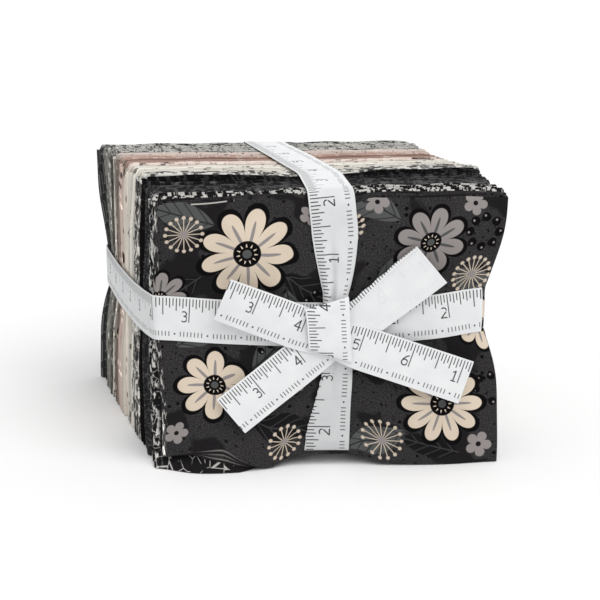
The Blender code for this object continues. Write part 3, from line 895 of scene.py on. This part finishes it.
# where grey_fleck, pale_mark, rose_tick and slate_dot lay a darker colour on this fold, it is partly painted
# shade, the side fold drawn darker than the top
def nearFold(at):
    # 1 on the left fold between the first two panels
    return abs(at.parts()[0] + foldsAt["left"]).within(foldsAt["leftHalf"], 1.0)


def overFold(at):
    # 1 where the cloth folds over at its top
    return abs(at.parts()[1] % foldsAt["topEvery"] - foldsAt["top"]).within(foldsAt["topHalf"], 0.4)


def foldMarks(at, along, share):
    # uneven marks on the top folds, alike on a cloth's neighbouring plies so that they show as one
    x, y, _ = at.parts()
    spread = (abs(x + foldsAt["left"]) * along).joined(y * 0.002)
    return spread.noise(0.42, 3.0, 0.65).beyond(share, 0.02) * overFold(at)


# each print gives its masks; in flecks, scale comes first, then the share left bare and the blur
def mottledGround(at):
    grain, drift = at.noise(1.3, 4.0, 0.75), at.stretched(1, 1, (31, 7)).noise(0.030, 2.0)
    near, far = at.cells(0.27, scatter=0.7), at.cells(0.42, scatter=0.85)
    x, y, _ = at.parts()
    rim = abs(x + 3.6).within(3.7, 0.5) * at.flecks(0.36, 0.56, 0.04, (1.6, 0.45))
    short = (abs((x - 11.7) % 3.9 - 1.9) + abs(x - 15.5) * 0.05).within(1.15, 0.2)
    dashes = abs(x - 25.4).within(8.2, 0.3) | short
    return (grain.beyond(0.52, 0.06) * 0.8, grain.within(0.40, 0.05) * 0.5, drift.beyond(0.54, 0.015) * 0.85,
            near.within(0.27, 0.03) * drift.within(0.54, 0.02) * drift.beyond(0.46, 0.02),
            far.within(0.22, 0.03) * drift.within(0.47, 0.02),
            rim | abs(y - 137.9).within(0.32, 0.15) * dashes)


def blackSpeckle(at):
    lines = at.cells(0.19, "DISTANCE_TO_EDGE").within(0.022, 0.010) * at.noise(0.16, 2.0).beyond(0.47, 0.03)
    blots = at.flecks(0.42, 0.55, 0.03, (0.9, 0.45)) * nearFold(at)
    return lines * (1 - overFold(at)), blots | foldMarks(at, 0.70, 0.525)


def blackFleck(at):
    rings = abs(at.cells(0.12, scatter=0.6) - 0.33).within(0.05, 0.02)
    return at.flecks(0.6, 0.57, 0.05, (0.5, 1.3)) * 0.75, rings * 0.5 | foldMarks(at, 0.35, 0.55) * 0.6


def blackDash(at):
    dash = at.stretched(0.22, 1.0).cells(0.50, scatter=0.9).within(0.20, 0.06)
    return (dash * (1 - nearFold(at) * 0.6) | foldMarks(at, 0.85, 0.54) * 0.35,)


def whiteDash(at):
    arcs = abs(at.cells(0.085, scatter=0.5) - 0.40).within(0.06, 0.02)
    edge = at.flecks(0.30, 0.52, 0.025, (1.2, 0.5)) * nearFold(at)
    return arcs, at.flecks(0.17, 0.535, 0.03) * 0.9, edge * 0.9 | foldMarks(at, 0.25, 0.60) * 0.85


def creamPlain(at):
    swirl = at.noise(0.14, 2.0).math("MULTIPLY", 9.0).math("SINE").beyond(0.35, 0.4)
    marks = at.noise(0.15, 2.0).beyond(0.62, 0.02) | foldMarks(at, 0.20, 0.645)
    return swirl * 0.6, marks * 0.85


def pinkDash(at):
    x, y, _ = at.parts()
    scallop = abs((x * (math.pi / 9)).math("SINE").math("ABSOLUTE") * 2.2 - (y % 7.0)).within(0.34, 0.14)
    dots = at.stretched(1.0, 0.6).cells(0.12, scatter=0.8).within(0.24, 0.03)
    return (at.noise(0.20, 2.0).beyond(0.52, 0.10), scallop * 0.8, nearFold(at) * 0.85,
            dots | foldMarks(at, 0.30, 0.61) * 0.8)


def roseTick(at):
    x, y, _ = at.parts()
    tick = abs((x + y * 0.3) % 9.5 - 4.7).within(0.6, 0.2) * abs(y % 6.0 - 3.0).within(1.3, 0.2)
    dots = at.stretched(1.0, 0.6).cells(0.17, scatter=0.9).within(0.22, 0.03) * nearFold(at)
    # the darker colour over the left fold is partly painted shade
    return (at.flecks(0.25, 0.50, 0.09, (0.4, 1.0)) * 0.6, overFold(at) * 0.8, nearFold(at) * 0.9, dots,
            tick * 0.8 | foldMarks(at, 0.30, 0.60) * 0.8)


def paleMark(at):
    # the darker colour over the left fold is partly painted shade
    return nearFold(at) * 0.9, at.cells(0.20, scatter=0.7).within(0.17, 0.03), at.flecks(0.30, 0.60, 0.03)


def greyFleck(at):
    streaks = at.stretched(1.4, 0.5)
    dark, light = streaks.flecks(0.26, 0.565, 0.03), streaks.stretched(1, 1, (17, 40)).flecks(0.30, 0.60, 0.04)
    # the dark colour over the left fold is partly painted shade
    return nearFold(at) * 0.92, dark * 0.9 | foldMarks(at, 0.5, 0.56) * 0.9, light * 0.8


def slateDot(at):
    x, y, _ = at.parts()
    row = (x * (1 / 6.0)).math("FLOOR")
    aside = abs(x % 6.0 - 3.0) - 1.1
    along = abs((y + row * 4.7) % 17.0 - 8.5) - 5.4
    outside = (aside.math("MAXIMUM", 0.0) ** 2 + along.math("MAXIMUM", 0.0) ** 2).math("SQRT")
    marks = at.stretched(0.4, 1.0).noise(0.26, 2.0).beyond(0.57, 0.03) | foldMarks(at, 0.4, 0.56)
    # over the left fold this dark colour is partly painted shade, elsewhere it is the print's marks
    return nearFold(at) | marks, outside.within(0.9, 0.15) * outside.beyond(0.25, 0.15)


def flowers(at):
    # the front cloth's leaves, berries and flowers, each as colours with their masks
    layers = []
    for number, (x, y, heading, long, wide) in enumerate(zip(*leaves.values())):
        mask, aside, share = leaf(at, (x, y), heading, long, wide)
        sides = abs((share * 5 - abs(aside) * 0.2) % 1.0 - 0.5).within(0.07, 0.04)
        vein = abs(aside).within(0.4, 0.12) | sides
        inner, outer, strength = (slate, ink, 0.75) if number % 3 else (ink, slate, 0.4)
        layers += [(inner, mask), (outer, vein * mask * strength)]
    for x, y, reach, count in zip(*berries.values()):
        layers += zip((black, stone), fruitRing(at, (x, y), reach, count))
    for x, y, size, petals, turn, tint in zip(*daisies.values()):
        vein = slate if tint == stone else stone
        for dye, inner, outer, plump in ((black, 0.64, 1.13, 0.45), (tint, 0.34, 1.0, 0.40),
                                         (vein, 0.10, 0.74, 9.0)):
            layers.append((dye, bloom(at, (x, y), petals, size * inner, size * outer, turn, plump)))
        ring = bloom(at, (x, y), 11, size * 0.12, size * 0.235, turn, 6.0) * at.far(x, y).beyond(size * 0.16)
        layers += [(black, spot(at, (x, y), size * 0.30)), (cream, ring),
                   (slate, spot(at, (x, y), size * 0.10))]
    for x, y, reach, spokes in zip(*seedHeads.values()):
        layers += [(cream, seedHead(at, (x, y), reach, spokes) * 0.85),
                   (stone, spot(at, (x, y), reach * 0.22))]
    for x, y, size in zip(*posies.values()):
        layers += [(stone, bloom(at, (x, y), 5, size * 0.45, size, 0.3, 0.5)),
                   (ink, spot(at, (x, y), size * 0.2))]
    return layers


prints = {
    "charcoal_floral": mottledGround, "black_speckle": blackSpeckle, "black_fleck": blackFleck,
    "black_dash": blackDash, "white_dash": whiteDash, "cream_plain": creamPlain, "pink_dash": pinkDash,
    "rose_tick": roseTick, "pale_mark": paleMark, "grey_fleck": greyFleck, "slate_dot": slateDot,
}


def printed(at, slot):
    ground, *tints = dyes[slot]
    colour = at.node("ShaderNodeMix", {"data_type": "RGBA"}, {0: 0.0, 6: paint(ground), 7: paint(ground)}, 2)
    layers = [*zip(tints, prints[slot](at)), *(flowers(at) if slot == "charcoal_floral" else ())]
    for tint, mask in layers:
        colour = colour.covered(tint, mask)
    return colour


def newMaterial(name):
    # with the place on the uncut cloth in metres, the same in mm, and the shade attribute that scales each
    # point's colour: painted shade and light, on the cloths also each cloth's own tone
    made = bpy.data.materials.new(name)
    made.use_nodes = True
    start = Thread(made.node_tree, None)
    place = start.node("ShaderNodeAttribute", {"attribute_name": "cloth"}, None, 1)
    light = start.node("ShaderNodeAttribute", {"attribute_name": "shade"}, None, 2)
    return made, place, place.vector("MULTIPLY", (1000.0, 1000.0, 0.0)), light


def finished(made, colour, height, feel):
    shader, links = made.node_tree.nodes["Principled BSDF"], made.node_tree.links
    bump = height.node("ShaderNodeBump", None,
                       {"Height": height, "Strength": feel["relief"], "Distance": feel["depth"]})
    links.new(colour.socket, shader.inputs["Base Color"])
    links.new(bump.socket, shader.inputs["Normal"])
    shader.inputs["Roughness"].default_value = feel["roughness"]
    shader.inputs["Specular IOR Level"].default_value = feel["shine"]
    return made


cotton = {
    "roughness": 0.95,
    "shine": 0.0,
    "threads": 2.6,         # per mm
    "relief": 0.35,
    "depth": 0.00003,
    "uneven": 0.20,         # how far its lightness wanders
    "reversePale": 0.45,
    "reverse": (0.36, 0.335, 0.325),
}


def clothMaterial(slot):
    made, place, at, light = newMaterial(slot + "_cotton")
    along, up, side = place.parts()
    colour = printed(at, slot)
    pale = colour.covered(cotton["reverse"], cotton["reversePale"])
    colour = colour.covered(pale, side.beyond(0.5, 0.01))
    # scaled by random unevenness and by the shade attribute's painted shade and light
    colour = colour.scaled((at.noise(0.05, 2.0) * cotton["uneven"] + 0.88) * light)
    turns = 2 * math.pi * cotton["threads"] * 1000
    weave = (along * turns).math("SINE") * (up * turns).math("SINE") + at.noise(0.8, 3.0) * 1.5
    return finished(made, colour, weave, cotton)

# numerals in mm round their own middle: straight strokes, then arcs as x, y, radius and the
# direction (degrees) and share of the circle that shows
numerals = {
    1: (((0.1, -2.5, 0.1, 2.6), (-0.8, -2.5, 1.0, -2.5), (-0.9, 1.8, 0.1, 2.6)), ()),
    2: (((0.95, 0.35, -1.4, -2.35), (-1.4, -2.4, 1.5, -2.4)), ((0.0, 1.25, 1.35, 60, 0.25),)),
    3: ((), ((0.0, 1.35, 1.2, 20, -0.45), (0.0, -1.1, 1.45, -20, -0.45))),
    4: (((0.6, 2.6, -1.6, -0.9), (-1.6, -0.9, 1.6, -0.9), (0.6, 2.6, 0.6, -2.6)), ()),
    5: (((-0.9, 2.5, 1.3, 2.5), (-0.95, 2.5, -1.1, 0.4)), ((0.0, -0.9, 1.6, 0, -0.62),)),
    6: (((1.2, 2.5, 0.2, 1.9), (0.2, 1.9, -1.1, 0.3), (-1.1, 0.3, -1.45, -1.0)),
        ((0.0, -1.1, 1.45, 0, -2.0),)),
}
ruler = {
    "halfWide": 11.1,
    "edge": 0.8,              # mm from the woven edge to the ticks
    "spacing": (25.4, 12.7, 6.35, 3.175, 1.5875),
    "long": (11.8, 8.4, 6.2, 4.8, 3.8),
    "tickHalf": 0.25,
    "numeralHalf": 0.33,
    "numeralAside": 2.5,      # mm before its inch mark
    "numeralUp": 1.3,         # mm above the ribbon's middle line
    "rowEvery": 16.2,         # length of one group of bars in the row along the other edge
    "rowDown": 7.6,
    "barEvery": 1.75,
    "barMiddle": 0.87,
}
satin = {
    "white": ((0.3, (0.69, 0.70, 0.71)), (0.7, (0.74, 0.745, 0.75))),
    "ink": (0.055, 0.055, 0.06),
    "reverseHides": 0.93,         # share of the print that does not show on its back
    "twill": 1.6,                 # lines per mm
    "roughness": 0.70,
    "shine": 0.20,
    "relief": 0.25,
    "depth": 0.00003,
}


def stroke(at, x0, y0, x1, y1):
    # a straight stroke from one point to another
    along = Vector((x1 - x0, y1 - y0, 0.0))
    apart = at.off(x0, y0)
    share = apart.vector("DOT_PRODUCT", tuple(along / along.length_squared), output=1).math("MULTIPLY", 1.0)
    share.socket.node.use_clamp = True
    nearest = at.node("ShaderNodeVectorMath", {"operation": "SCALE"}, {0: tuple(along), 3: share})
    return apart.vector("DISTANCE", nearest, output=1).within(ruler["numeralHalf"], 0.10)


def arc(at, x, y, radius, heading, cutOff):
    apart = at.off(x, y)
    ring = abs(apart.vector("LENGTH", output=1) - radius).within(ruler["numeralHalf"], 0.10)
    facing = (math.cos(math.radians(heading)), math.sin(math.radians(heading)), 0.0)
    return ring * apart.vector("DOT_PRODUCT", facing, output=1).beyond(cutOff * radius, 0.05)


def rulerPrint(at):
    along, up, _ = at.parts()
    fromEdge = ruler["halfWide"] - up
    ticks = either([
        abs((along + gap / 2) % gap - gap / 2).within(ruler["tickHalf"], 0.09)
        * fromEdge.within(ruler["edge"] + long, 0.1) for gap, long in zip(ruler["spacing"], ruler["long"])])
    inch = ruler["spacing"][0]
    which = (((along + 1.0) * (1 / inch)).math("FLOOR") + 1.0) % 6.0
    inCell = (along + 1.0) % inch - 1.0 - inch + ruler["numeralAside"]
    near = inCell.joined(up - ruler["numeralUp"])
    digits = [either([stroke(near, *line) for line in lines] + [arc(near, *bend) for bend in arcs])
              * which.math("COMPARE", float(digit % 6), 0.4) for digit, (lines, arcs) in numerals.items()]
    # groups of short upright bars with a dot between, along the other edge
    row = (along % ruler["rowEvery"]).joined(up + ruler["rowDown"])
    place, level, _ = row.parts()
    bar = abs(place % ruler["barEvery"] - ruler["barMiddle"]).within(0.26, 0.08) * abs(level).within(1.25, 0.1)
    bar = bar * place.within(ruler["rowEvery"] - 4.0, 0.05)
    dot = row.far(ruler["rowEvery"] - 2.0, 0.0).within(0.48, 0.1)
    return either([ticks * fromEdge.beyond(ruler["edge"], 0.1), *digits, bar * 0.85, dot])


def ribbonMaterial():
    made, place, at, light = newMaterial("ribbon_ruler_print")
    along, up, _ = at.parts()
    seen = rulerPrint(at) * (1 - place.parts()[2].beyond(0.5, 0.01) * satin["reverseHides"])
    cloudy = at.node("ShaderNodeValToRGB", {"stops": satin["white"]}, {0: at.noise(0.12, 2.0)})
    twill = ((along + up) * (2 * math.pi * satin["twill"])).math("SINE") * 0.5 + at.noise(1.5, 2.0)
    # the shade attribute paints the ribbon's shade and light
    return finished(made, cloudy.covered(satin["ink"], seen).scaled(light), twill, satin)


dice = random.Random(7)
number = 0
for slot, count in zip(*cloths.values()):
    material = clothMaterial(slot)
    for _ in range(count):
        node = f"fat_quarter_{number + 1:02d}"
        piece = foldedCloth(node + "_cloth", number, dice)
        piece.data.materials.append(material)
        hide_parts(node)
        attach(piece, "root")
        number += 1
print("folded", number, "cloths")

ribbonCloth = ribbonMaterial()
strips = (
    ("ribbon_level", levelRibbon()), ("ribbon_upright", uprightRibbon()), ("ribbon_knot", knotRibbon()),
    ("ribbon_tail_falling", tailRibbon(0)), ("ribbon_tail_rising", tailRibbon(1)))
for node, piece in strips:
    piece.data.materials.append(ribbonCloth)
    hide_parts(node)
    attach(piece, "root")

# the floor, soft light and camera; the camera stands at the photo's angle
studio = {
    "floor": (0.94, 0.94, 0.94),
    "floorReach": 9,
    "world": 0.62,
    "sun": 1.9,
    "sunFrom": (0.30, -0.62, 1.0),     # up, in front and a little to the right
    "sunSoft": 55,                     # degrees across
    "camera": (-0.06915, -0.72429, 0.260),
    "tilt": (75.1, 0.0, -6.0),
    "lens": 84.0,
    "film": 36.0,
}
scene, reach = bpy.context.scene, studio["floorReach"]
floorMesh = bpy.data.meshes.new("floor")
floorMesh.from_pydata([(-reach, -reach, 0), (reach, -reach, 0), (reach, reach, 0), (-reach, reach, 0)], [],
                      [(0, 1, 2, 3)])
floorPaint = bpy.data.materials.new("pale_floor")
floorPaint.use_nodes = True
floorFinish = floorPaint.node_tree.nodes["Principled BSDF"].inputs
floorFinish["Base Color"].default_value = (*studio["floor"], 1)
floorFinish["Roughness"].default_value = 0.9
floorMesh.materials.append(floorPaint)
placed("floor", floorMesh)

scene.view_settings.view_transform = "Standard"
scene.world = scene.world or bpy.data.worlds.new("studio")
scene.world.use_nodes = True
sky = scene.world.node_tree.nodes["Background"].inputs
sky[0].default_value, sky[1].default_value = (1, 1, 1, 1), studio["world"]
sun = bpy.data.lights.new("softSun", "SUN")
sun.energy, sun.angle = studio["sun"], math.radians(studio["sunSoft"])
placed("softSun", sun).rotation_euler = (-Vector(studio["sunFrom"])).to_track_quat("-Z", "Y").to_euler()

cameraData = bpy.data.cameras.new("camera")
cameraData.lens, cameraData.sensor_width = studio["lens"], studio["film"]
camera = placed("camera", cameraData)
camera.location = studio["camera"]
camera.rotation_euler = [math.radians(a) for a in studio["tilt"]]
scene.camera = camera
print("lit the floor and set the camera")
